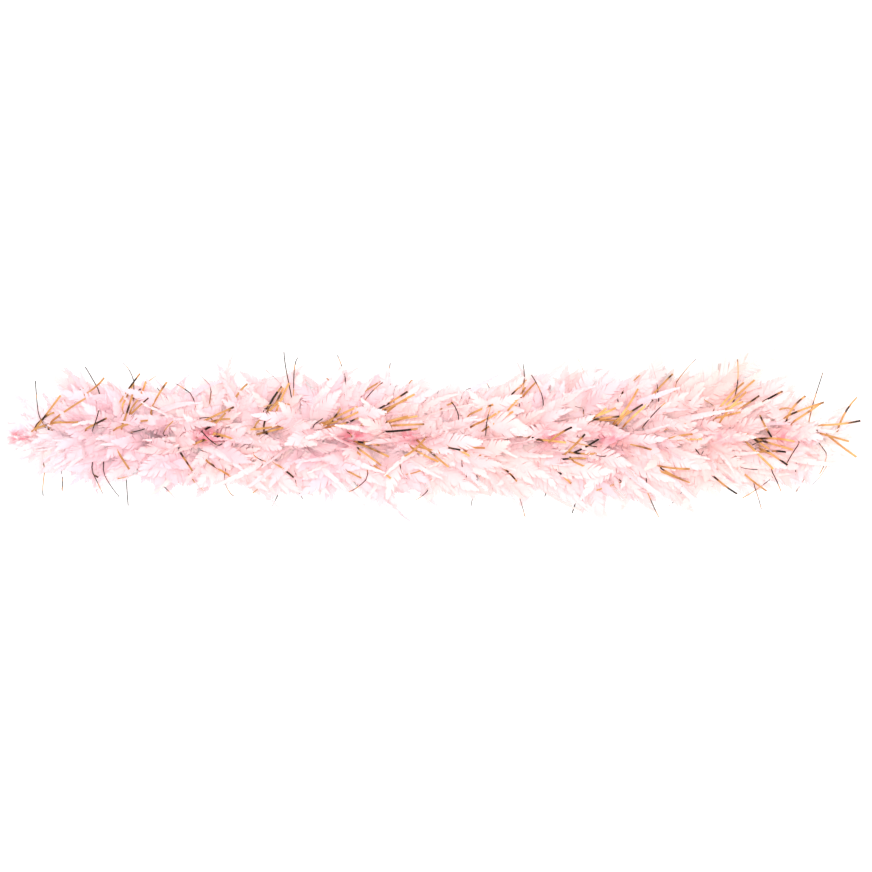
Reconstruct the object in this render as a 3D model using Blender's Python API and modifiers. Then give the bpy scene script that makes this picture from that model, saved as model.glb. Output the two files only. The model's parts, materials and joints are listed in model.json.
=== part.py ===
"""A feather boa: a limp cord set with whorls of feathers and sprays of tinsel, lying straight on a table.

Metres. X runs along the boa, Z is up, the table is at Z = 0, and X = Y = 0 is the boa's middle.
The cord bends at points PITCH apart, so each length of cord between them carries its own feathers
and tinsel, and hangs on an empty that stands at its bending point.
"""

import math
import random

import bmesh
import bpy
from mathutils import Matrix, Vector

# The whole boa
SEGMENTS = 17  # lengths of cord between bending points, an odd number, so that one is in the middle
PITCH = 0.065
AXIS_HEIGHT = 0.066  # the cord above the table, on the feathers that it presses flat
TOTAL_LENGTH = 1.2
GAP = 0.0003  # between pieces that touch

# Cord
CORD_RADIUS = 0.0025
CORD_END_PLAY = 0.0004  # from a round cord end to its bending point
CORD_SIDES = 8
CORD_RINGS = 5

# A whorl of feathers, bound round the cord on a short hub of quills
HUB_RADIUS = 0.009
HUB_LOW = -0.024
HUB_HIGH = 0.0175
FEATHERS = 10
FEATHER_REACH = 0.088
FEATHER_SHORTEST = 0.91  # share of the reach
FEATHER_HALF_WIDTH = 0.0115
FEATHER_THICKNESS = 0.003
FEATHER_TWIST = math.radians(50)
QUILL_HALF_WIDTH = 0.0022
QUILL_START = 0.006

# The feathers that lie flat on the table under each whorl
FLAT_REACH = 0.078
FLAT_HALF_WIDTH = 0.012
FLAT_THICKNESS = 0.003
CUT_DEPTH = 0.001  # how far they start below the table, before the cut along it
UNDER_TABLE = (2.0, 0.6, 0.06)  # the block that is cut away below the table

# A spray of tinsel strips, bound on a ring beside the hub
TINSEL_LOW = 0.018
TINSEL_HIGH = 0.024
TINSEL_RING_RADIUS = 0.006
TINSEL_ROOT = 0.0045
STRIP_WIDTH = 0.003
STRIP_THICKNESS = 0.0006
LONG_STRIP = 0.115
SHORT_STRIP = 0.096
LONG_SPRAY = ((90, LONG_STRIP), (18, SHORT_STRIP), (-18, SHORT_STRIP), (-90, LONG_STRIP))
SHORT_SPRAY = ((54, SHORT_STRIP), (18, SHORT_STRIP), (-18, SHORT_STRIP), (-54, SHORT_STRIP))

# The boa's two ends
KNOT_RADIUS = 0.006
END_RING_LENGTH = 0.0072
END_FEATHERS = 8
END_SPREAD = 0.05  # how far the last feathers' tips stand from the cord's line
END_HALF_WIDTH = 0.009

RING_SIDES = 8
SEED = 7

CORD_LENGTH = SEGMENTS * PITCH
MIDDLE = (SEGMENTS + 1) // 2


def clear_scene():
    for thing in list(bpy.data.objects):
        bpy.data.objects.remove(thing)


def new_collection(name):
    found = bpy.data.collections.new(name)
    bpy.context.scene.collection.children.link(found)
    return found


def new_material(name, colour, roughness, metallic=0.0):
    made = bpy.data.materials.new(name)
    made.use_nodes = True
    shader = made.node_tree.nodes["Principled BSDF"]
    shader.inputs["Base Color"].default_value = (*colour, 1.0)
    shader.inputs["Roughness"].default_value = roughness
    shader.inputs["Metallic"].default_value = metallic
    return made


def new_object(name, bm, material, collection, parent, place=(0.0, 0.0, 0.0)):
    """An object from a bmesh, at a place given from its parent."""
    mesh = bpy.data.meshes.new(name)
    bm.to_mesh(mesh)
    bm.free()
    made = bpy.data.objects.new(name, mesh)
    made.data.materials.append(material)
    collection.objects.link(made)
    made.parent = parent
    made.location = place
    return made


def new_cutter(name, bm, material, collection, parent):
    made = new_object(name, bm, material, collection, parent)
    made.hide_render = True
    made.display_type = "WIRE"
    return made


def boolean(target, operation, cutter):
    change = target.modifiers.new(cutter.name, "BOOLEAN")
    change.operation = operation
    change.object = cutter
    change.solver = "EXACT"
    change.use_self = operation == "UNION"


def capsule(half_length, radius):
    """A round-ended length of cord along X."""
    bm = bmesh.new()
    turn = Matrix.Rotation(math.pi / 2, 4, "Y")
    bmesh.ops.create_uvsphere(
        bm, u_segments=CORD_SIDES, v_segments=CORD_RINGS, radius=radius, matrix=turn
    )
    for v in bm.verts:
        v.co.x += math.copysign(half_length - radius, v.co.x)
    return bm


def ring_profile(low, high, inner, outer):
    """The section of a ring round X, as a closed outline for the Screw modifier."""
    bm = bmesh.new()
    corners = [(high, outer), (low, outer), (low, inner), (high, inner)]
    points = [bm.verts.new((x, y, 0)) for x, y in corners]
    for a, b in zip(points, points[1:] + points[:1]):
        bm.edges.new((a, b))
    return bm


def turn_round_cord(target):
    turned = target.modifiers.new("turn", "SCREW")
    turned.axis = "X"
    turned.steps = RING_SIDES
    turned.render_steps = RING_SIDES
    turned.use_merge_vertices = True
    turned.merge_threshold = 0.00001


def add_slab(bm, outline, thickness, placement):
    """A flat piece: the outline's (y, z) points, thickened along X, then placed."""
    points = [bm.verts.new((-thickness / 2, y, z)) for y, z in outline]
    face = bm.faces.new(points)
    grown = bmesh.ops.extrude_face_region(bm, geom=[face])["geom"]
    risen = [g for g in grown if isinstance(g, bmesh.types.BMVert)]
    bmesh.ops.translate(bm, verts=risen, vec=(thickness, 0, 0))
    bmesh.ops.transform(bm, matrix=placement, verts=points + risen)


def feather_outline(start, reach, half_width):
    """A pointed feather that stands along Z, narrow at its quill."""
    side = [
        (QUILL_HALF_WIDTH, start),
        (half_width, start + 0.42 * (reach - start)),
        (0.62 * half_width, start + 0.78 * (reach - start)),
    ]
    return side + [(0.0, reach)] + [(-y, z) for y, z in reversed(side)]


def flat_outline():
    """A pointed leaf along Y, through the middle of the whorl, as (y, z) points of a slab."""
    side = [(FLAT_HALF_WIDTH, 0.0), (0.7 * FLAT_HALF_WIDTH, 0.6 * FLAT_REACH)]
    quarter = side + [(0.0, FLAT_REACH)]
    half = quarter + [(-y, z) for y, z in reversed(side)]
    return half + [(y, -z) for y, z in reversed(half[1:-1])]


def whorl_feathers(chance):
    """Ten feathers round the cord, one of them straight down, and the leaf that lies on the table."""
    bm = bmesh.new()
    for k in range(FEATHERS):
        reach = FEATHER_REACH * (chance.uniform(FEATHER_SHORTEST, 1.0) if k else 1.0)
        twist = Matrix.Rotation(chance.uniform(-FEATHER_TWIST, FEATHER_TWIST), 4, "Z")
        around = Matrix.Rotation(math.pi + k * math.tau / FEATHERS, 4, "X")
        outline = feather_outline(QUILL_START, reach, FEATHER_HALF_WIDTH)
        add_slab(bm, outline, FEATHER_THICKNESS, around @ twist)
    thick = FLAT_THICKNESS + CUT_DEPTH
    lowered = Matrix.Translation((0, 0, thick / 2 - CUT_DEPTH - AXIS_HEIGHT))
    flat = Matrix(((0, 1, 0), (0, 0, 1), (1, 0, 0))).to_4x4()
    add_slab(bm, flat_outline(), thick, lowered @ flat)
    bmesh.ops.recalc_face_normals(bm, faces=bm.faces)
    return bm


def floor_box():
    """Everything under the table's surface, which no feather reaches."""
    bm = bmesh.new()
    lowered = Matrix.Translation((0, 0, -UNDER_TABLE[2] / 2))
    placed = lowered @ Matrix.Diagonal((*UNDER_TABLE, 1.0))
    bmesh.ops.create_cube(bm, size=1.0, matrix=placed)
    return bm


def tinsel_strips(spray):
    """Straight strips from the ring to their tips. Each is (degrees from straight up, reach)."""
    bm = bmesh.new()
    root = Vector(((TINSEL_LOW + TINSEL_HIGH) / 2, 0, TINSEL_ROOT))
    for angle, reach in spray:
        run = Vector((0, 0, reach)) - root
        lean = run.to_track_quat("Z", "Y").to_matrix().to_4x4()
        size = Matrix.Diagonal((STRIP_THICKNESS, STRIP_WIDTH, run.length, 1.0))
        placed = Matrix.Translation(root + run / 2) @ lean @ size
        around = Matrix.Rotation(math.radians(angle), 4, "X")
        bmesh.ops.create_cube(bm, size=1.0, matrix=around @ placed)
    return bm


def end_feathers(side):
    """The last feathers, which lean out past the cord's end."""
    bm = bmesh.new()
    root = Vector((side * (CORD_LENGTH / 2 - END_RING_LENGTH / 2), 0, QUILL_START))
    tip = Vector((side * TOTAL_LENGTH / 2, 0, END_SPREAD))
    run = tip - root
    lean = run.to_track_quat("Z", "Y").to_matrix().to_4x4()
    outline = feather_outline(0.0, run.length, END_HALF_WIDTH)
    for k in range(END_FEATHERS):
        around = Matrix.Rotation((k + 0.5) * math.tau / END_FEATHERS, 4, "X")
        add_slab(bm, outline, FEATHER_THICKNESS, around @ Matrix.Translation(root) @ lean)
    bmesh.ops.recalc_face_normals(bm, faces=bm.faces)
    return bm


def knot(side):
    """The thread knot against the cord's end."""
    bm = bmesh.new()
    place = Matrix.Translation((side * (CORD_LENGTH / 2 + GAP + KNOT_RADIUS), 0, 0))
    bmesh.ops.create_uvsphere(bm, u_segments=8, v_segments=5, radius=KNOT_RADIUS, matrix=place)
    return bm


def segment_middle(n):
    return (n - MIDDLE) * PITCH


def pivot_place(n):
    """Where a segment hangs: on the bending point towards the boa's middle."""
    towards = (n < MIDDLE) - (n > MIDDLE)
    return Vector((segment_middle(n) + towards * PITCH / 2, 0, AXIS_HEIGHT))


def build_pivots(collection):
    """One empty for each segment, each hanging on the next one towards the middle."""
    pivots = {}
    for n in sorted(range(1, SEGMENTS + 1), key=lambda n: abs(n - MIDDLE)):
        empty = bpy.data.objects.new(f"segment_{n:02d}", None)
        empty.empty_display_size = 0.01
        collection.objects.link(empty)
        inner = n + (n < MIDDLE) - (n > MIDDLE)
        empty.parent = pivots.get(inner)
        empty.location = pivot_place(n) - (pivot_place(inner) if empty.parent else Vector())
        pivots[n] = empty
    return pivots


def build_cord(n, pivot, place, cotton, parts):
    bm = capsule(PITCH / 2 - CORD_END_PLAY, CORD_RADIUS)
    cord = new_object(f"core_cord_{n:02d}", bm, cotton, parts, pivot, place)
    cord.data.shade_smooth()


def build_whorl(n, pivot, place, chance, feather, parts, cutters, floor):
    hub = ring_profile(HUB_LOW, HUB_HIGH, CORD_RADIUS + GAP, HUB_RADIUS)
    whorl = new_object(f"feather_whorl_{n:02d}", hub, feather, parts, pivot, place)
    blades = new_cutter(f"whorl_blades_{n:02d}", whorl_feathers(chance), feather, cutters, whorl)
    turn_round_cord(whorl)
    boolean(whorl, "UNION", blades)
    boolean(whorl, "DIFFERENCE", floor)


def build_tinsel(n, pivot, place, film, parts, cutters):
    ring = ring_profile(TINSEL_LOW, TINSEL_HIGH, CORD_RADIUS + GAP, TINSEL_RING_RADIUS)
    spray = new_object(f"tinsel_spray_{n:02d}", ring, film, parts, pivot, place)
    strips = tinsel_strips(LONG_SPRAY if n % 2 else SHORT_SPRAY)
    blades = new_cutter(f"tinsel_blades_{n:02d}", strips, film, cutters, spray)
    turn_round_cord(spray)
    boolean(spray, "UNION", blades)


def build_end(side, pivot, feather, thread, parts, cutters):
    word = "left" if side < 0 else "right"
    place = Vector((0, 0, AXIS_HEIGHT)) - pivot.matrix_world.translation
    outer = side * CORD_LENGTH / 2
    inner = outer - side * END_RING_LENGTH
    section = ring_profile(min(outer, inner), max(outer, inner), CORD_RADIUS + GAP, HUB_RADIUS)
    spray = new_object(f"end_feathers_{word}", section, feather, parts, pivot, place)
    blades = new_cutter(f"end_blades_{word}", end_feathers(side), feather, cutters, spray)
    turn_round_cord(spray)
    boolean(spray, "UNION", blades)
    tied = new_object(f"end_knot_{word}", knot(side), thread, parts, pivot, place)
    tied.data.shade_smooth()


def build():
    clear_scene()
    parts = new_collection("feather_boa")
    cutters = new_collection("cutters")
    feather = new_material("dyed_feather", (0.95, 0.66, 0.70), 0.8)
    cotton = new_material("cotton_cord", (0.80, 0.38, 0.45), 0.9)
    thread = new_material("binding_thread", (0.85, 0.45, 0.52), 0.8)
    film = new_material("gold_film", (0.83, 0.53, 0.22), 0.25, 1.0)
    floor = new_cutter("table_cutter", floor_box(), feather, cutters, None)
    pivots = build_pivots(parts)
    bpy.context.view_layer.update()
    chance = random.Random(SEED)
    for n in range(1, SEGMENTS + 1):
        place = Vector((segment_middle(n), 0, AXIS_HEIGHT)) - pivots[n].matrix_world.translation
        build_cord(n, pivots[n], place, cotton, parts)
        build_whorl(n, pivots[n], place, chance, feather, parts, cutters, floor)
        build_tinsel(n, pivots[n], place, film, parts, cutters)
    build_end(-1, pivots[1], feather, thread, parts, cutters)
    build_end(1, pivots[SEGMENTS], feather, thread, parts, cutters)


build()
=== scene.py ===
import json
import math

import bmesh
import bpy
import numpy as np
from mathutils import Matrix, Vector


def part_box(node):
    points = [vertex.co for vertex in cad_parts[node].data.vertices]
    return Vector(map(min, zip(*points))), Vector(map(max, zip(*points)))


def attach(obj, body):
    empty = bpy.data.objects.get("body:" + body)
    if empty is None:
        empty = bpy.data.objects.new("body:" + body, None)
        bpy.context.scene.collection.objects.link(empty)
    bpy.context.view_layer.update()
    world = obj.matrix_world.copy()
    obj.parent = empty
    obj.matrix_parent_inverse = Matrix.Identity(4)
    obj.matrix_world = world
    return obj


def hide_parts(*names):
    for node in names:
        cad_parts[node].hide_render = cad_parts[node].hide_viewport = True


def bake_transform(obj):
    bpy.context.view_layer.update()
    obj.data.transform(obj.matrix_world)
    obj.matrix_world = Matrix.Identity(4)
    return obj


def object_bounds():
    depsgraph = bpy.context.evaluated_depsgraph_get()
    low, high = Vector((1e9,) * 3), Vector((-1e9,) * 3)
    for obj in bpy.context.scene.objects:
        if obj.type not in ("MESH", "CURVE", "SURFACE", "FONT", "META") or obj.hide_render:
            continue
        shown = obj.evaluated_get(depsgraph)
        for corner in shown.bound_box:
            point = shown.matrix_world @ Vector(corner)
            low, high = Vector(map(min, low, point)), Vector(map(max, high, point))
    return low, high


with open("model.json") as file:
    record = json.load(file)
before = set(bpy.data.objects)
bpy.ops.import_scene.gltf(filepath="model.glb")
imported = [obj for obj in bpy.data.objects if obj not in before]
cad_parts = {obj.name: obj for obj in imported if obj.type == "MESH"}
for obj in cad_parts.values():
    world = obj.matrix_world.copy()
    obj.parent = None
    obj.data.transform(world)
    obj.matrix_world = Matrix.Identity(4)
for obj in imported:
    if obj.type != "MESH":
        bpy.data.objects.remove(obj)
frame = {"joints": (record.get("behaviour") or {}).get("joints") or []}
cad_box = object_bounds()


# Studio. A white table top with the boa laid straight on it, seen from right above through a long
# lens, under broad soft light that leaves almost no shadow.
BOA_LOW, BOA_HIGH = cad_box
BOA_LENGTH = BOA_HIGH.x - BOA_LOW.x
CORD_HEIGHT = sum(corner.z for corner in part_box("core_cord_09")) / 2
LENS_MM = 85
SENSOR_MM = 36
VIEW_WIDTH = 1.0058 * BOA_LENGTH  # what the camera takes in at the cord's height
VIEW_RISE = 0.0014  # how far beyond the cord's line, on the far side, the camera aims
TABLE_HALF = 6
MOTTLE_SIZE = 0.1667  # of the laminate's faint patches


def linear(hex_colour):
    """A colour given as sRGB hex, such as "F4C2C9", as linear red, green, blue and 1."""
    parts = [int(hex_colour[i : i + 2], 16) / 255 for i in (0, 2, 4)]
    curved = [c / 12.92 if c <= 0.04045 else ((c + 0.055) / 1.055) ** 2.4 for c in parts]
    return (*curved, 1.0)


def new_material(name):
    """An empty node material and its tree, with the output node in it."""
    made = bpy.data.materials.new(name)
    made.use_nodes = True
    made.node_tree.nodes.clear()
    return made, made.node_tree


def node(tree, kind, values=None, feeds=None, **settings):
    """Adds a node: its settings, then plain values and feeding sockets for its inputs."""
    made = tree.nodes.new(kind)
    for name, value in settings.items():
        setattr(made, name, value)
    for place, value in (values or {}).items():
        made.inputs[place].default_value = value
    for place, source in (feeds or {}).items():
        tree.links.new(source, made.inputs[place])
    return made


def ramp(tree, source, stops):
    """A colour ramp from (place, hex colour) stops, read at a socket."""
    made = node(tree, "ShaderNodeValToRGB", feeds={"Fac": source})
    while len(made.color_ramp.elements) < len(stops):
        made.color_ramp.elements.new(1.0)
    for element, (place, colour) in zip(made.color_ramp.elements, stops):
        element.position = place
        element.color = linear(colour)
    return made.outputs["Color"]


camera_data = bpy.data.cameras.new("camera")
camera_data.lens = LENS_MM
camera_data.sensor_width = SENSOR_MM
camera_data.clip_end = 20
camera = bpy.data.objects.new("camera", camera_data)
bpy.context.scene.collection.objects.link(camera)
camera.location = (0, VIEW_RISE, CORD_HEIGHT + VIEW_WIDTH * LENS_MM / SENSOR_MM)
bpy.context.scene.camera = camera
bpy.context.scene.view_settings.view_transform = "Standard"

bm = bmesh.new()
bmesh.ops.create_grid(bm, x_segments=1, y_segments=1, size=TABLE_HALF)
table_mesh = bpy.data.meshes.new("table_top")
bm.to_mesh(table_mesh)
bm.free()
table_top = bpy.data.objects.new("table_top", table_mesh)
bpy.context.scene.collection.objects.link(table_top)

# Matt white laminate: even, with a very faint mottle.
laminate, tree = new_material("white_laminate")
where = node(tree, "ShaderNodeTexCoord").outputs["Object"]
mottle = node(
    tree, "ShaderNodeTexNoise", {"Scale": 1 / MOTTLE_SIZE, "Detail": 2.0}, {"Vector": where}
)
white = ramp(tree, mottle.outputs["Fac"], [(0.3, "FAFAFA"), (0.7, "FCFCFC")])
shader = node(tree, "ShaderNodeBsdfPrincipled", {"Roughness": 0.9}, {"Base Color": white})
node(tree, "ShaderNodeOutputMaterial", feeds={"Surface": shader.outputs[0]})
table_mesh.materials.append(laminate)

world = bpy.data.worlds.new("studio")
world.use_nodes = True
sky = world.node_tree.nodes["Background"]
sky.inputs["Color"].default_value = linear("FFFFFF")
sky.inputs["Strength"].default_value = 1.12
bpy.context.scene.world = world

for name, place, size, power in (
    ("top_softbox", (0.0, 0.05, 3.5), 0.8, 98.0),
    ("side_softbox", (1.8, -1.2, 1.9), 1.2, 10.0),
):
    lamp = bpy.data.lights.new(name, "AREA")
    lamp.size = size
    lamp.energy = power
    holder = bpy.data.objects.new(name, lamp)
    holder.location = place
    holder.rotation_euler = (-Vector(place)).to_track_quat("-Z", "Y").to_euler()
    bpy.context.scene.collection.objects.link(holder)


# Core cord. Two soft spun cotton strands twisted together, with a fine sewing thread wound the
# other way round them. The quills and the tinsel are caught in the twist. It is limp; each stretch
# runs from the middle of one length to the middle of the next, across the joint between them.
joints = sorted(frame["joints"], key=lambda joint: joint["pos_m"][0])
SEGMENTS = len(joints) + 1
PITCH = joints[1]["pos_m"][0] - joints[0]["pos_m"][0]
CORD_HALF = SEGMENTS * PITCH / 2
PLY_RADIUS = 0.0013
PLY_OFFSET = 0.0012
CORD_LAY = 0.010  # length of cord in which a ply goes once round
THREAD_RADIUS = 0.00025
THREAD_OFFSET = 0.0025
THREAD_LAY = -0.006
PLY_SIDES = 8
THREAD_SIDES = 4
STEPS_PER_TURN = 12
FIBRE_SPACING = 0.000303


def regions():
    """The boa's stretches, left to right: number, low end, high end and the two bodies it lies on.

    A stretch in the middle runs over one joint. The first and last, half a length long, lie on one
    body only, so their two bodies are the same.
    """
    ends = [-CORD_HALF] + [(n - (SEGMENTS - 1) / 2) * PITCH for n in range(SEGMENTS)] + [CORD_HALF]
    for k, (low, high) in enumerate(zip(ends, ends[1:])):
        left = f"segment_{max(k, 1):02d}"
        right = f"segment_{min(k + 1, SEGMENTS):02d}"
        yield k, low, high, left, right


def fasten(piece, left, right):
    """Rides a piece on its one body at the boa's ends; any other piece keeps its place, baked into
    its mesh.
    """
    if left == right:
        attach(piece, left)
        return
    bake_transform(piece)


def new_piece(name, mesh, material):
    """An object at the origin, in the scene, with its one material."""
    piece = bpy.data.objects.new(name, mesh)
    bpy.context.scene.collection.objects.link(piece)
    mesh.materials.append(material)
    return piece


def wind(bm, low, high, radius, offset, lay, turned, sides):
    """Sweeps a round strand along the cord's line, once round it in each lay."""
    turn = math.tau * low / lay + turned
    centre = Vector((low, 0, CORD_HEIGHT))
    out = Vector((0, -math.sin(turn), math.cos(turn))) * offset
    upright = Matrix.Translation(centre + out) @ Matrix.Rotation(math.pi / 2, 4, "Y")
    ring = bmesh.ops.create_circle(bm, segments=sides, radius=radius, matrix=upright)["verts"]
    edges = list({edge for v in ring for edge in v.link_edges})
    angle = math.tau * (high - low) / lay
    steps = max(2, round(abs(angle) / math.tau * STEPS_PER_TURN))
    step = Vector(((high - low) / steps, 0, 0))
    bmesh.ops.spin(
        bm, geom=ring + edges, cent=centre, axis=(1, 0, 0), dvec=step, angle=angle, steps=steps
    )


def close_and_store(bm, name):
    """Closes a bmesh's open ends, turns its faces outwards and stores it as a smooth mesh."""
    bmesh.ops.holes_fill(bm, edges=[edge for edge in bm.edges if edge.is_boundary])
    bmesh.ops.recalc_face_normals(bm, faces=bm.faces)
    mesh = bpy.data.meshes.new(name)
    bm.to_mesh(mesh)
    bm.free()
    mesh.shade_smooth()
    return mesh


# Spun cotton, dyed deep pink: matt and slightly hairy, with its fibres drawn out along the yarn.
cotton, tree = new_material("dyed_spun_cotton")
where = node(tree, "ShaderNodeTexCoord").outputs["Object"]
along = node(tree, "ShaderNodeMapping", {"Scale": (0.25, 1.0, 1.0)}, {"Vector": where})
fibre = node(
    tree,
    "ShaderNodeTexNoise",
    {"Scale": 1 / FIBRE_SPACING, "Detail": 3.0},
    {"Vector": along.outputs[0]},
)
ground_colour = ramp(tree, fibre.outputs["Fac"], [(0.3, "D9667F"), (0.7, "F093A4")])
raised = node(
    tree,
    "ShaderNodeBump",
    {"Strength": 0.5, "Distance": FIBRE_SPACING},
    {"Height": fibre.outputs["Fac"]},
)
shader = node(
    tree,
    "ShaderNodeBsdfPrincipled",
    {"Roughness": 0.92, "Sheen Weight": 0.3},
    {"Base Color": ground_colour, "Normal": raised.outputs[0]},
)
node(tree, "ShaderNodeOutputMaterial", feeds={"Surface": shader.outputs[0]})

for k, low, high, left, right in regions():
    bm = bmesh.new()
    for turned in (0, math.pi):
        wind(bm, low, high, PLY_RADIUS, PLY_OFFSET, CORD_LAY, turned, PLY_SIDES)
    wind(bm, low, high, THREAD_RADIUS, THREAD_OFFSET, THREAD_LAY, 0, THREAD_SIDES)
    cord = new_piece(f"twisted_cord_{k:02d}", close_and_store(bm, "twisted_cord"), cotton)
    fasten(cord, left, right)
    if k < SEGMENTS:
        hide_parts(right.replace("segment", "core_cord"))


# End whippings. Pink sewing thread wound tightly round each end of the cord and drawn into a knot,
# so that the twist can't open.
WHIPPING_LENGTH = 0.011
WHIPPING_RADIUS = 0.0033
WHIPPING_THREAD = 0.0006
WHIPPING_LAY = 2.1 * WHIPPING_THREAD  # turn against turn
WHIPPING_SIDES = 6
KNOT_RADIUS = 0.0042
KNOT_SHAPE = (1.5, 0.8, 0.8, 1.0)  # drawn out along the cord

for word, side, body in (("left", -1, "segment_01"), ("right", 1, f"segment_{SEGMENTS:02d}")):
    bm = bmesh.new()
    start, stop = sorted((side * CORD_HALF, side * (CORD_HALF + WHIPPING_LENGTH)))
    wind(bm, start, stop, WHIPPING_THREAD, WHIPPING_RADIUS, WHIPPING_LAY, 0, WHIPPING_SIDES)
    centre = Matrix.Translation((side * (CORD_HALF + WHIPPING_LENGTH / 2), 0, CORD_HEIGHT))
    shape = centre @ Matrix.Diagonal(KNOT_SHAPE)
    bmesh.ops.create_uvsphere(bm, u_segments=16, v_segments=10, radius=KNOT_RADIUS, matrix=shape)
    whipping = new_piece(f"end_whipping_{word}", close_and_store(bm, "whipping"), cotton)
    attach(whipping, body)
    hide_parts(f"end_knot_{word}")


# Feathers. Soft dyed feathers, mostly 50 to 150 mm long, each a fine quill with a vane that splits
# into barbs. The cord's twist holds their quills in whorls: at the left end they point left, and
# from there they lean more and more to the right. Those underneath lie pressed on the table.
BARBS = 24  # bunches of barbs on each side of a quill
PATTERNS = 14  # unlike full feathers; half as many downy and wispy ones
QUILL_SHARE = 0.05  # bare quill, in feather lengths
DOWN_SHARE = 0.26  # how far along the feather its downy base goes
QUILL_WIDTH = 0.007  # in feather lengths, like the next two
QUILL_LENGTH = 0.94
QUILL_LIFT = 0.004
VANE_WIDEST = 0.34  # how far along the feather its vane reaches its full width
SPLITS = 0.10  # share of the bunches of barbs that stand apart from the one below
GOLDEN_TURN = 0.618034  # of a turn, from one quill to the next, so that none line up
ROOT_DEPTH = 0.002  # from the cord's line to where a feather comes out
FARTHEST = 0.12  # from the cord to the farthest tips on either side
USUAL_REACH = 0.075
TOP_REACH = 0.078  # how far the feathers on top, bent over by their weight, stand out
END_X = BOA_LENGTH / 2 + 0.003
OUTLINE_END = 0.57  # the outline's last tufts, before the boa rounds off
END_TAPER = 0.09  # the length over which the top comes down at either end
TOP_LEAN = 50  # degrees that the feathers right on top lean along the cord, over its line
TUFT_LEAN = 15  # degrees that the feathers of a tuft lean together
CURL_VARIES = 16  # degrees
# A feather's curve in two straight pulls: from its root, then on to its tip.
ROOT_PULL = 0.52
TIP_PULL = 0.50
SHORTEST = 0.02
TABLE_SOFTNESS = 0.002  # how gently a feather turns up on to the table
LEAN_PLACES = (-CORD_HALF, -CORD_HALF + 0.05, -0.30, -0.1, 0.2, CORD_HALF - 0.05, CORD_HALF)
LEANS = (-54, -32, 2, 14, 26, 36, 66)  # degrees along the cord, positive to the right
# How far the tufts reach on the far side (+Y) and the near side (-Y) of the cord, along it.
FAR_REACH = (
    (-0.597, 0.034), (-0.578, 0.056), (-0.525, 0.078), (-0.498, 0.086), (-0.475, 0.068),
    (-0.452, 0.068), (-0.404, 0.086), (-0.374, 0.061), (-0.340, 0.084), (-0.320, 0.070),
    (-0.278, 0.104), (-0.258, 0.062), (-0.230, 0.072), (-0.192, 0.103), (-0.172, 0.055),
    (-0.160, 0.046), (-0.144, 0.088), (-0.118, 0.088), (-0.084, 0.110), (-0.066, 0.080),
    (-0.034, 0.063), (-0.006, 0.062), (0.030, 0.074), (0.052, 0.063), (0.078, 0.082),
    (0.113, 0.081), (0.168, 0.086), (0.194, 0.096), (0.225, 0.080), (0.237, 0.090),
    (0.278, 0.103), (0.294, 0.093), (0.320, 0.115), (0.336, 0.087), (0.372, 0.098),
    (0.395, 0.096), (0.412, 0.116), (0.421, 0.080), (0.441, 0.085), (0.460, 0.072),
    (0.491, 0.071), (0.516, 0.058), (0.542, 0.032), (0.574, 0.042), (0.597, 0.006),
)
NEAR_REACH = (
    (-0.597, 0.030), (-0.570, 0.044), (-0.525, 0.056), (-0.498, 0.053), (-0.456, 0.071),
    (-0.419, 0.064), (-0.350, 0.079), (-0.286, 0.067), (-0.262, 0.078), (-0.228, 0.091),
    (-0.197, 0.073), (-0.139, 0.075), (-0.089, 0.092), (-0.063, 0.108), (-0.046, 0.087),
    (-0.031, 0.070), (-0.006, 0.078), (0.014, 0.086), (0.035, 0.080), (0.070, 0.089),
    (0.125, 0.083), (0.142, 0.065), (0.168, 0.070), (0.189, 0.108), (0.219, 0.103),
    (0.237, 0.083), (0.265, 0.098), (0.291, 0.098), (0.297, 0.083), (0.323, 0.071),
    (0.354, 0.100), (0.372, 0.073), (0.432, 0.069), (0.464, 0.087), (0.481, 0.066),
    (0.502, 0.081), (0.525, 0.073), (0.539, 0.045), (0.563, 0.030), (0.597, 0.006),
)
chance = np.random.default_rng(11)


def vane_half_width(along, fullness):
    """Half the vane's width at a place along the quill, in feather lengths."""
    swell = min(1.0, (along / VANE_WIDEST) ** 0.75)
    narrowing = max(0.0, 1.0 - along) ** 0.8
    return fullness * swell * narrowing * 1.15


def barb_points(k, side, fullness, split):
    """Where the loose end and the bulging lower edge of a bunch of barbs lie, from its quill."""
    share = (k + 0.5) / BARBS
    downy = max(0.0, 1.0 - share / DOWN_SHARE)
    # Barbs slant more and more towards the tip, and those of the down stand out any way.
    sweep = math.radians(58 - 38 * share + 25 * downy + chance.normal(0, 2.5 + 9 * downy))
    reach = vane_half_width(QUILL_SHARE + share * (1 - QUILL_SHARE), fullness)
    reach = (reach + 0.012) / math.sin(max(sweep, 0.5)) * chance.uniform(0.93, 1.06)
    if split:
        reach *= chance.uniform(0.75, 1.15)
    tip = Vector((side * math.sin(sweep), math.cos(sweep), 0)) * reach
    tip.z = chance.normal(0, 0.004 + 0.03 * downy) - 0.35 * tip.x * tip.x / fullness
    spacing = Vector((0, (1 - QUILL_SHARE) / BARBS, 0))
    overlap = 0.4 if split else 0.93 - 0.25 * downy
    edge = overlap * (tip - spacing) + Vector((0, 0, chance.normal(0, 0.002)))
    return tip, edge


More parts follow.
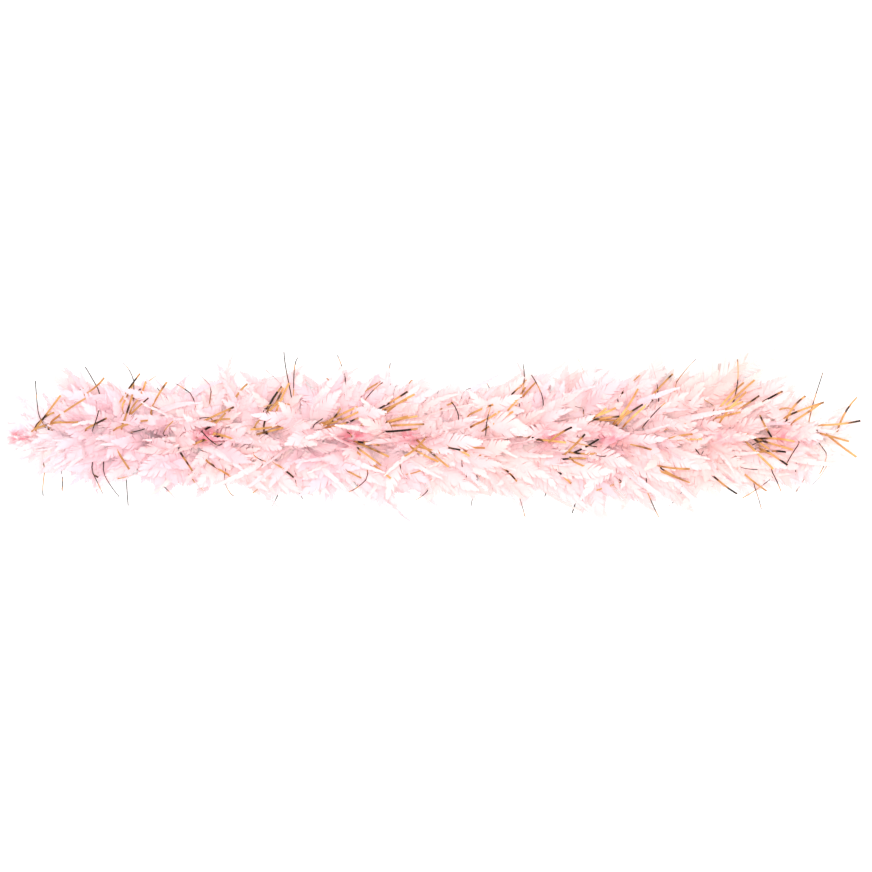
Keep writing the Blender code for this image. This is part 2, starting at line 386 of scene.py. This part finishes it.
def feather_pattern(fullness):
    """One feather, one unit long: across along X, quill to tip along Y, its face along Z.

    It is drawn as a line of quill edges. A bunch of barbs grows from each edge on both sides, and
    a fine ribbon over the line is the quill itself.
    """
    bm = bmesh.new()
    last = bm.verts.new((0, QUILL_SHARE, 0))
    step = Vector((0, (1 - QUILL_SHARE) / BARBS, 0))
    for _ in range(BARBS):
        grown = bmesh.ops.extrude_vert_indiv(bm, verts=[last])["verts"]
        bmesh.ops.translate(bm, verts=grown, vec=step)
        last = grown[0]
    quill = sorted(bm.edges, key=lambda edge: edge.verts[0].co.y + edge.verts[1].co.y)
    for side in (-1, 1):
        split = False
        for k, edge in enumerate(quill):
            lower, upper = sorted(edge.verts, key=lambda v: v.co.y)
            grown = bmesh.ops.extrude_edge_only(bm, edges=[edge])["geom"]
            new = [g for g in grown if isinstance(g, bmesh.types.BMVert)]
            near, far = sorted(new, key=lambda v: v.co.y)
            split = chance.random() < SPLITS and not split
            tip, bulge = barb_points(k, side, fullness, split)
            far.co = upper.co + tip - step
            near.co = lower.co + bulge
    ribbon = Matrix.Translation((0, QUILL_LENGTH / 2, QUILL_LIFT))
    ribbon @= Matrix.Diagonal((QUILL_WIDTH, QUILL_LENGTH, 1, 1))
    made = bmesh.ops.create_grid(bm, x_segments=1, y_segments=6, size=0.5, matrix=ribbon)["verts"]
    for v in made:
        v.co.x *= 1.15 - v.co.y
    bm.verts.index_update()
    points = np.array([v.co for v in bm.verts])
    faces = np.array([[v.index for v in face.verts] for face in bm.faces])
    bm.free()
    return points, faces


def swept(points, start, bend, end, face_up):
    """Lays a pattern along many curves: (curve, point, xyz) places.

    Each curve runs from start towards bend and ends at end. face_up is the way that its face
    looks, as near as the curve allows.
    """
    along = points[None, :, 1:2]
    inside = np.clip(along, 0, 1)
    begin, corner, finish = start[:, None], bend[:, None], end[:, None]
    place = (1 - inside) ** 2 * begin + 2 * inside * (1 - inside) * corner + inside**2 * finish
    heading = 2 * (1 - inside) * (corner - begin) + 2 * inside * (finish - corner)
    place = place + (along - inside) * heading
    size = np.linalg.norm(corner - begin, axis=2) + np.linalg.norm(finish - corner, axis=2)
    heading /= np.linalg.norm(heading, axis=2, keepdims=True)
    sideways = np.cross(heading, np.broadcast_to(face_up[:, None], heading.shape))
    sideways /= np.linalg.norm(sideways, axis=2, keepdims=True) + 1e-9
    out = np.cross(sideways, heading)
    scale = size[:, :, None]
    return place + points[None, :, 0:1] * scale * sideways + points[None, :, 2:3] * scale * out


def press_on_table(places, lift):
    """Bends what would go under the table up on to it, softly."""
    over = (places[..., 2] - lift) / TABLE_SOFTNESS
    places[..., 2] = lift + TABLE_SOFTNESS * np.logaddexp(0, over)
    return places


def mesh_part(places, faces, attributes):
    """Flat points, faces and attributes of (curve, point, xyz) places that share their faces."""
    count, each = places.shape[:2]
    shifts = each * np.arange(count)[:, None, None]
    every = (faces[None] + shifts).reshape(-1, faces.shape[1])
    flat = {key: value.reshape(count * each, 3) for key, value in attributes.items()}
    return places.reshape(-1, 3), every, flat


def joined(name, parts):
    """One mesh from several (points, faces, attributes)."""
    offsets = np.cumsum([0] + [len(points) for points, _, _ in parts])
    mesh = bpy.data.meshes.new(name)
    points = np.concatenate([p for p, _, _ in parts])
    faces = np.concatenate([f + offset for (_, f, _), offset in zip(parts, offsets)])
    mesh.from_pydata(points.tolist(), [], faces.tolist())
    for key in parts[0][2]:
        values = np.concatenate([a[key] for _, _, a in parts]).astype(np.float32)
        mesh.attributes.new(key, "FLOAT_VECTOR", "POINT").data.foreach_set("vector", values.ravel())
    mesh.shade_smooth()
    return mesh


def unit(vectors):
    """The same ways, one unit long."""
    return vectors / (np.linalg.norm(vectors, axis=-1, keepdims=True) + 1e-9)


def tuft_reach(x, sine, cosine):
    """How far the feathers reach from the cord at x, looking round it at the angle's sine."""
    sideways = np.where(
        sine > 0,
        np.interp(x, *np.transpose(FAR_REACH)),
        np.interp(x, *np.transpose(NEAR_REACH)),
    )
    near_end = np.clip((BOA_LENGTH / 2 - np.abs(x)) / END_TAPER, 0.25, 1)
    return 1 / np.hypot(sine / sideways, cosine / (TOP_REACH * near_end))


def clumping(x, around):
    """How feathers next to each other gather into tufts: a smooth value near -1 to 1."""
    return (
        np.sin(math.tau * x / 0.071 + 2 * around + 0.4)
        + np.sin(math.tau * x / 0.043 - 3 * around + 2.1)
        + 0.6 * np.sin(math.tau * x / 0.118 + around + 4.0)
    ) / 2


def leans(x, around, spread, curl, gather):
    """How far feathers lean along the cord, as angles: by their roots, and curled at their tips."""
    count = len(x)
    whorl = np.interp(x, LEAN_PLACES, LEANS)
    over = TOP_LEAN * np.sign(whorl + chance.normal(0, 22, count))
    on_top = np.maximum(np.cos(around), 0) ** 2
    lean = whorl * (1 - on_top) + over * on_top
    lean += chance.normal(0, spread, count) + TUFT_LEAN * gather * clumping(x, around)
    lean = np.radians(lean)
    later = lean + np.radians(chance.normal(curl, CURL_VARIES, count)) * np.sign(lean)
    return lean, later


def feather_lengths(x, around, middle, share, gather):
    """Lengths that bring feathers' tips out to the tufts' outline, but not past the boa's ends."""
    sine, cosine = np.sin(around), np.cos(around)
    tip_x = x + USUAL_REACH * np.tan(np.clip(middle, -0.9, 0.9))
    tip_x = np.clip(tip_x, -OUTLINE_END, OUTLINE_END)
    length = tuft_reach(tip_x, sine, cosine) * share * chance.uniform(0.78, 1.06, len(x))
    length *= 1 + 0.12 * gather * clumping(tip_x + 0.03, 2 * around)
    steepest = np.interp(np.abs(x), [0.46, 0.53], [0.66, 0.35])
    length = 1.12 * length / np.clip(np.cos(middle), steepest, 1)
    outward = np.sin(middle) * np.sign(x)
    rounding = np.where(x < 0, 0.02, 0.06)
    farthest = END_X - rounding * np.cos(middle) ** 2 * np.abs(sine)
    room = (farthest - np.abs(x)) / np.maximum(outward, 0.05)
    return np.minimum(length, np.maximum(room, SHORTEST))


def feather_curves(low, high, count, share, spread, curl, gather):
    """Start, bend, end and face of count feathers rooted between low and high on the cord.

    share is their length against the full reach there, spread and curl are in degrees, and gather
    is how much they form tufts.
    """
    x = low + (high - low) * (np.arange(count) + chance.uniform(0, 1, count)) / count
    around = math.tau * (GOLDEN_TURN * np.arange(count) + chance.uniform(0, 0.35, count))
    around += 0.16 * gather * clumping(x + 0.02, around) - 0.3 * np.sin(around)
    sine, cosine = np.sin(around), np.cos(around)
    radial = np.stack([0 * around, sine, cosine], 1)
    sideways = np.stack([0 * around, cosine, -sine], 1)
    lean, later = leans(x, around, spread, curl, gather)
    middle = np.clip((lean + later) / 2, -1.25, 1.25)
    length = feather_lengths(x, around, middle, share, gather)
    forward = np.array([1.0, 0.0, 0.0])
    first = radial * np.cos(lean)[:, None] + forward * np.sin(lean)[:, None]
    second = radial * np.cos(later)[:, None] + forward * np.sin(later)[:, None]
    astray = chance.normal(0, 0.30, count) * (1 + 0.8 * np.maximum(cosine, 0))
    second = unit(second + sideways * astray[:, None])
    second[:, 2] -= 0.25 * np.abs(radial[:, 1])  # their tips hang down at the sides
    start = np.stack([x, 0 * x, 0 * x + CORD_HEIGHT], 1) + ROOT_DEPTH * radial
    bend = start + first * (ROOT_PULL * length)[:, None]
    lowest = 0.004 + 0.01 * chance.random(count)
    bend[:, 2] = np.maximum(bend[:, 2], lowest)
    end = bend + unit(second) * (TIP_PULL * length)[:, None]
    end[:, 1] = np.clip(end[:, 1], -FARTHEST, FARTHEST)
    end[:, 2] = np.clip(end[:, 2], lowest, BOA_HIGH.z)
    flat = np.array([0.0, 0.0, 1.0]) * np.abs(radial[:, 1:2]) * 1.1
    face_up = unit(0.5 * radial + flat + 0.45 * chance.normal(0, 1, (count, 3)))
    return start, bend, end, face_up


# Rosy spots, where the dye ran in thick by the cord: (place along it, depth of colour).
ROSY_SPOTS = (
    (-0.575, 0.9), (-0.308, 1.0), (-0.111, 1.0), (-0.036, 0.7),
    (0.157, 0.7), (0.236, 0.8), (0.391, 0.6), (0.473, 0.8),
)
ROSY_HALF_LENGTH = 0.019
ROSY_HALF_WIDTH = 0.010


def plume_values(points, places, tint):
    """Attributes: (along, out from the quill, tint) and (share of the reach, rosy, 0)."""
    count, each = places.shape[:2]
    plume = np.zeros((count, each, 3))
    plume[..., 0] = points[None, :, 1]
    plume[..., 1] = points[None, :, 0]
    plume[..., 2] = tint[:, None]
    depth = np.zeros((count, each, 3))
    away = np.hypot(places[..., 1], places[..., 2] - CORD_HEIGHT)
    depth[..., 0] = away / FARTHEST
    for spot, strength in ROSY_SPOTS:
        along = (places[..., 0] - spot) / ROSY_HALF_LENGTH
        across = places[..., 1] / ROSY_HALF_WIDTH
        depth[..., 1] += strength * np.exp(-(along**2 + across**2))
    return {"plume": plume, "depth": depth}


def feather_parts(patterns, low, high, per_metre, share, spread, curl, gather):
    """A layer of feathers along a stretch of cord, as parts for one mesh."""
    count = max(len(patterns), round(per_metre * (high - low)))
    start, bend, end, face_up = feather_curves(low, high, count, share, spread, curl, gather)
    patches = 0.5 + 0.6 * start[:, 0] + 0.2 * np.sin(math.tau * start[:, 0] / 0.31 + 1)
    tint = np.clip(patches + chance.normal(0, 0.22, count), 0, 1)
    lift = 0.0004 + 0.006 * chance.random(count)
    parts = []
    for n, (points, faces) in enumerate(patterns):
        pick = slice(n, None, len(patterns))
        places = swept(points, start[pick], bend[pick], end[pick], face_up[pick])
        places = press_on_table(places, lift[pick, None])
        values = plume_values(points, places, tint[pick])
        parts.append(mesh_part(places, faces, values))
    return parts


# Dyed feather: soft and matt, with light passing through the thin vane. Its colour is paler by the
# cord and a deeper pink further out: painted light that offsets the shade deep in the fluff, and
# painted shade that tones down the brighter outer feathers. The farthest tips stay pale, and each
# feather takes the dye a little differently. The barbs show as fine slanting lines of painted
# shade, drawn about 2 mm apart so that they show.
BARB_LINES = 50  # in one feather length
PATCH_SIZE = 0.0385  # of the patches where the dye is lighter or darker
SOAKED_SIZE = 0.00909  # of the blots within a rosy spot


def mixed(tree, share, first, second, how):
    """Mixes two colours, each a socket or a value, by a share that is a socket or a value."""
    made = node(tree, "ShaderNodeMix", data_type="RGBA", blend_type=how)
    for place, source in ((0, share), (6, first), (7, second)):
        if isinstance(source, bpy.types.NodeSocket):
            tree.links.new(source, made.inputs[place])
        else:
            made.inputs[place].default_value = source
    return made.outputs[2]


plumage, tree = new_material("dyed_feather")
plume = node(tree, "ShaderNodeAttribute", attribute_name="plume").outputs["Vector"]
depth = node(tree, "ShaderNodeAttribute", attribute_name="depth").outputs["Vector"]
plume_xyz = node(tree, "ShaderNodeSeparateXYZ", feeds={"Vector": plume}).outputs
depth_xyz = node(tree, "ShaderNodeSeparateXYZ", feeds={"Vector": depth}).outputs
where = node(tree, "ShaderNodeTexCoord").outputs["Object"]
patchy = node(
    tree, "ShaderNodeTexNoise", {"Scale": 1 / PATCH_SIZE, "Detail": 3.0}, {"Vector": where}
)
out_share = node(
    tree,
    "ShaderNodeMath",
    {1: 0.3},
    {0: patchy.outputs["Fac"], 2: depth_xyz["X"]},
    operation="MULTIPLY_ADD",
).outputs[0]
# Paler by the cord and deeper pink further out: painted light against the shade deep in the fluff,
# and painted shade on the bright outer feathers.
dye_and_painted_light = ramp(
    tree,
    out_share,
    [
        (0.24, "FFF8F6"),
        (0.40, "FEEDEC"),
        (0.62, "FADBDC"),
        (0.84, "F8D8D8"),
        (0.93, "F0D9D7"),
        (1.0, "E3D7D4"),
    ],
)
tinted = ramp(
    tree, plume_xyz["Z"], [(0.0, "F4E2F2"), (0.3, "FBF3F8"), (0.62, "FFFEFC"), (1.0, "FFEEE4")]
)
ground_colour = mixed(tree, 0.5, dye_and_painted_light, tinted, "MULTIPLY")
soaked = node(
    tree, "ShaderNodeTexNoise", {"Scale": 1 / SOAKED_SIZE, "Detail": 2.0}, {"Vector": where}
)
soaked_share = node(
    tree,
    "ShaderNodeMapRange",
    {"From Min": 0.38, "From Max": 0.55},
    {"Value": soaked.outputs["Fac"], "To Max": depth_xyz["Y"]},
).outputs[0]
rosy = mixed(tree, soaked_share, ground_colour, linear("F57E94"), "MIX")
slanted = node(
    tree, "ShaderNodeMath", feeds={0: plume_xyz["Y"]}, operation="ABSOLUTE"
).outputs[0]
lines_at = node(
    tree, "ShaderNodeMath", feeds={0: plume_xyz["X"], 1: slanted}, operation="SUBTRACT"
).outputs[0]
turns = node(
    tree, "ShaderNodeMath", {1: BARB_LINES * math.tau}, {0: lines_at}, operation="MULTIPLY"
).outputs[0]
waves = node(tree, "ShaderNodeMath", feeds={0: turns}, operation="SINE").outputs[0]
# Painted shade: the colour darkens by up to 6 per cent in the lines between the barbs.
barb_line_shade = node(
    tree, "ShaderNodeMapRange", {"From Min": -1.0, "To Min": 0.94, "To Max": 1.0}, {"Value": waves}
).outputs[0]
barbed = mixed(tree, 1.0, rosy, barb_line_shade, "MULTIPLY")
raised = node(tree, "ShaderNodeBump", {"Strength": 0.25, "Distance": 0.0006}, {"Height": waves})
matt = node(
    tree, "ShaderNodeMapRange", {"To Min": 0.72, "To Max": 0.95}, {"Value": patchy.outputs["Fac"]}
)
vane = node(
    tree,
    "ShaderNodeBsdfPrincipled",
    {"Sheen Weight": 0.1, "Sheen Roughness": 0.6, "Specular IOR Level": 0.15},
    {"Base Color": barbed, "Roughness": matt.outputs[0], "Normal": raised.outputs[0]},
)
through = node(tree, "ShaderNodeBsdfTranslucent", feeds={"Color": barbed})
shader = node(
    tree, "ShaderNodeMixShader", {0: 0.26}, {1: vane.outputs[0], 2: through.outputs[0]}
)
node(tree, "ShaderNodeOutputMaterial", feeds={"Surface": shader.outputs[0]})

downy = [feather_pattern(chance.uniform(0.16, 0.21)) for _ in range(PATTERNS // 2)]
slender = [feather_pattern(chance.uniform(0.11, 0.18)) for _ in range(PATTERNS)]
wispy = [feather_pattern(chance.uniform(0.03, 0.05)) for _ in range(PATTERNS // 2)]

# Layers, from the cord outwards: the patterns, feathers in a metre of cord, share of the full
# reach, spread and curl in degrees, and how much they gather in tufts.
LAYERS = (
    (downy, 900, 0.64, 45, 14, 0.0),
    (downy, 1100, 0.84, 36, 14, 0.3),
    (slender, 1000, 1.0, 19, 24, 1.0),
    (wispy, 300, 1.12, 18, 30, 1.0),
)

for k, low, high, left, right in regions():
    parts = []
    for patterns, per_metre, share, spread, curl, gather in LAYERS:
        parts += feather_parts(patterns, low, high, per_metre, share, spread, curl, gather)
    feathers = new_piece(f"feathers_{k:02d}", joined("feathers", parts), plumage)
    fasten(feathers, left, right)
    if k < SEGMENTS:
        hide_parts(right.replace("segment", "feather_whorl"))
    if k == 0:
        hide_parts("end_feathers_left")
    if k == SEGMENTS:
        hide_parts("end_feathers_right")


# Tinsel. Flat strips slit from gold metallised film, some 3 mm wide, single and in sprays of two to
# five, and some half as wide that stand out past the feathers. The cord's twist holds them.
STRIP_FOLDS = 10
STRIP_WIDE = 0.0028
STRIP_NARROW = 0.0015
STRIP_LENGTH = 0.052  # the part that runs over the feathers
ROOT_SHIFTS = 0.012  # how far along the cord a strip's root may be from where it comes out
HIDDEN_SHARE = 0.55  # of a strip's folds, for the part from the cord up to where it turns
FARTHEST_SIDE = BOA_HIGH.y + 0.010
FARTHEST_UP = BOA_HIGH.z + 0.003
FARTHEST_TURN = 0.086  # from the cord
# Where strips turn to run over the feathers, as a share of the feathers' reach.
SPRAY_TURN = 0.74
SINGLE_TURN = 0.66
NARROW_TURN = 0.9
SINGLES_PER_METRE = 100
NARROW_PER_METRE = 90
# Where sprays come out on top: along the cord, across it, strips, heading in degrees, its spread.
SPRAYS = (
    (-0.545, 0.026, 4, 20, 80), (-0.437, 0.020, 3, 40, 80), (-0.425, 0.048, 3, 62, 12),
    (-0.330, -0.014, 3, 15, 40), (-0.312, 0.016, 3, 20, 40), (-0.243, 0.014, 3, 40, 80),
    (-0.230, 0.046, 3, 60, 12), (-0.155, 0.026, 4, 14, 22), (-0.115, -0.016, 3, 340, 40),
    (-0.080, 0.036, 4, 22, 24), (-0.070, 0.016, 4, 4, 18), (-0.030, -0.010, 3, 335, 40),
    (0.020, -0.022, 3, 350, 30), (0.045, 0.020, 3, 22, 24), (0.105, 0.056, 3, 50, 12),
    (0.120, 0.000, 2, 352, 10), (0.180, -0.030, 5, 20, 100), (0.205, 0.026, 4, 10, 60),
    (0.250, 0.030, 3, 40, 40), (0.290, -0.045, 3, 350, 50), (0.315, -0.010, 2, 8, 16),
    (0.385, 0.040, 5, 25, 60), (0.410, 0.010, 2, 318, 10), (0.435, -0.016, 4, 350, 60),
    (0.480, 0.036, 3, 30, 50), (0.520, 0.010, 3, 340, 60),
)


def strip_pattern():
    """A flat ribbon one unit long and one unit wide, from zero along Y."""
    bm = bmesh.new()
    upright = Matrix.Translation((0, 0.5, 0))
    bmesh.ops.create_grid(bm, x_segments=1, y_segments=STRIP_FOLDS, size=0.5, matrix=upright)
    points = np.array([v.co for v in bm.verts])
    faces = np.array([[v.index for v in face.verts] for face in bm.faces])
    bm.free()
    return points, faces


def strips(roots, outlets, tips, width, sag, twist, tint):
    """Ribbons from their roots on the cord, out at the feathers' surface, and on to their tips."""
    points, faces = strip_pattern()
    along = points[None, :, 1:2]
    inner = np.clip(along / HIDDEN_SHARE, 0, 1)
    outer = np.clip((along - HIDDEN_SHARE) / (1 - HIDDEN_SHARE), 0, 1)
    root, outlet, tip = roots[:, None], outlets[:, None], tips[:, None]
    place = root + (outlet - root) * inner + (tip - outlet) * outer
    place += sag[:, None] * (4 * outer * (1 - outer))
    heading = unit(np.where(along < HIDDEN_SHARE, outlet - root, tip - outlet))
    facing = unit(outlets - roots)[:, None] + np.array([0.0, 0.0, 0.6])
    across = unit(np.cross(heading, np.broadcast_to(facing, heading.shape)))
    lifted = np.cross(across, heading)
    turn = twist[:, None, None] * (outer - 0.4)
    across = across * np.cos(turn) + lifted * np.sin(turn)
    place = place + points[None, :, 0:1] * width * across
    places = press_on_table(place, np.full((len(roots), 1), 0.0005))
    return mesh_part(places, faces, plume_values(points, places, tint))


def strips_over(x, around, heading, run, rise, width, tint, turn):
    """Ribbons that come out at x and an angle round the cord and run on over the feathers.

    heading is their way over the surface, 0 along the boa, rise their slope away from it, and
    turn where they turn to run on, as a share of the feathers' reach.
    """
    count = len(x)
    sine, cosine = np.sin(around), np.cos(around)
    radial = np.stack([0 * x, sine, cosine], 1)
    round_it = np.stack([0 * x, cosine, -sine], 1)
    roots = np.stack([x, 0 * x, 0 * x + CORD_HEIGHT], 1)
    out = np.minimum(tuft_reach(x, sine, cosine), FARTHEST_TURN) * turn
    outlets = roots + radial * out[:, None]
    forward = np.array([1.0, 0.0, 0.0])
    way = forward * np.cos(heading)[:, None] + round_it * np.sin(heading)[:, None]
    tips = outlets + unit(way + radial * rise[:, None]) * run[:, None]
    tips[:, 0] = np.clip(tips[:, 0], -END_X, END_X)
    tips[:, 1] = np.clip(tips[:, 1], -FARTHEST_SIDE, FARTHEST_SIDE)
    tips[:, 2] = np.minimum(tips[:, 2], FARTHEST_UP)
    shift = chance.uniform(-ROOT_SHIFTS, ROOT_SHIFTS, count)
    roots[:, 0] = np.clip(x + shift, -CORD_HALF, CORD_HALF)
    sag = chance.normal(0, 0.0014, (count, 3)) + radial * 0.0015
    return strips(roots, outlets, tips, width, sag, chance.normal(0, 0.5, count), tint)


# Gold metallised polyester film: a mirror-like foil whose long dark stretches, where it looks away
# from the lamps, are drawn as colour so that they show under even light.
BANDS_PER_STRIP = 4.0
UNLIKENESS = 60.0  # how far apart two strips' bands are read
film, tree = new_material("gold_metallised_film")
plume = node(tree, "ShaderNodeAttribute", attribute_name="plume").outputs["Vector"]
plume_xyz = node(tree, "ShaderNodeSeparateXYZ", feeds={"Vector": plume}).outputs
spread_out = node(
    tree, "ShaderNodeCombineXYZ", feeds={"X": plume_xyz["X"], "Y": plume_xyz["Z"]}
).outputs[0]
scaled = node(
    tree,
    "ShaderNodeMapping",
    {"Scale": (BANDS_PER_STRIP, UNLIKENESS, 1.0)},
    {"Vector": spread_out},
)
painted_reflection_bands = node(
    tree, "ShaderNodeTexNoise", {"Scale": 1.0, "Detail": 1.0}, {"Vector": scaled.outputs[0]}
)
shifted = node(
    tree,
    "ShaderNodeMath",
    {1: -0.12},
    {0: plume_xyz["Z"], 2: painted_reflection_bands.outputs["Fac"]},
    operation="MULTIPLY_ADD",
).outputs[0]
# Gold, with long dark stretches of painted reflection where the foil looks away from the lamps.
gold_and_painted_reflection = ramp(
    tree,
    shifted,
    [(0.29, "221A14"), (0.35, "4F3522"), (0.38, "AC7748"), (0.52, "C39159"), (0.62, "B07440")],
)
shader = node(
    tree,
    "ShaderNodeBsdfPrincipled",
    {"Metallic": 0.4, "Roughness": 0.5, "Specular IOR Level": 0.2},
    {"Base Color": gold_and_painted_reflection},
)
node(tree, "ShaderNodeOutputMaterial", feeds={"Surface": shader.outputs[0]})

for k, low, high, left, right in regions():
    parts = []
    for x, across, count, heading, spread in SPRAYS:
        if low <= x < high:
            parts.append(
                strips_over(
                    x + chance.normal(0, 0.008, count),
                    math.asin(across / TOP_REACH) + chance.normal(0, 0.10, count),
                    np.radians(heading + spread * np.linspace(-0.35, 0.35, count)),
                    STRIP_LENGTH * chance.uniform(0.65, 1.15, count),
                    chance.uniform(0.25, 0.45, count),
                    STRIP_WIDE,
                    chance.uniform(0, 1.3, count),
                    SPRAY_TURN,
                )
            )
    count = round(SINGLES_PER_METRE * (high - low))
    around = math.tau * (GOLDEN_TURN * np.arange(count) + chance.random())
    heading = np.sign(np.sin(around)) * chance.uniform(0.1, 1.1, count)
    parts.append(
        strips_over(
            chance.uniform(low, high, count),
            around,
            heading + np.pi * (chance.random(count) < 0.2),
            STRIP_LENGTH * chance.uniform(0.7, 1.2, count),
            chance.uniform(0.35, 0.7, count),
            STRIP_WIDE,
            chance.uniform(0, 1.3, count),
            SINGLE_TURN,
        )
    )
    count = round(NARROW_PER_METRE * (high - low))
    parts.append(
        strips_over(
            chance.uniform(low, high, count),
            math.tau * (GOLDEN_TURN * np.arange(count) + chance.random()),
            chance.uniform(0, math.tau, count),
            STRIP_LENGTH * chance.uniform(0.5, 1.0, count),
            chance.uniform(0.6, 2.4, count),
            STRIP_NARROW,
            chance.uniform(1.1, 2.1, count),
            NARROW_TURN,
        )
    )
    tinsel = new_piece(f"tinsel_{k:02d}", joined("tinsel", parts), film)
    fasten(tinsel, left, right)
    if k < SEGMENTS:
        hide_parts(right.replace("segment", "tinsel_spray"))
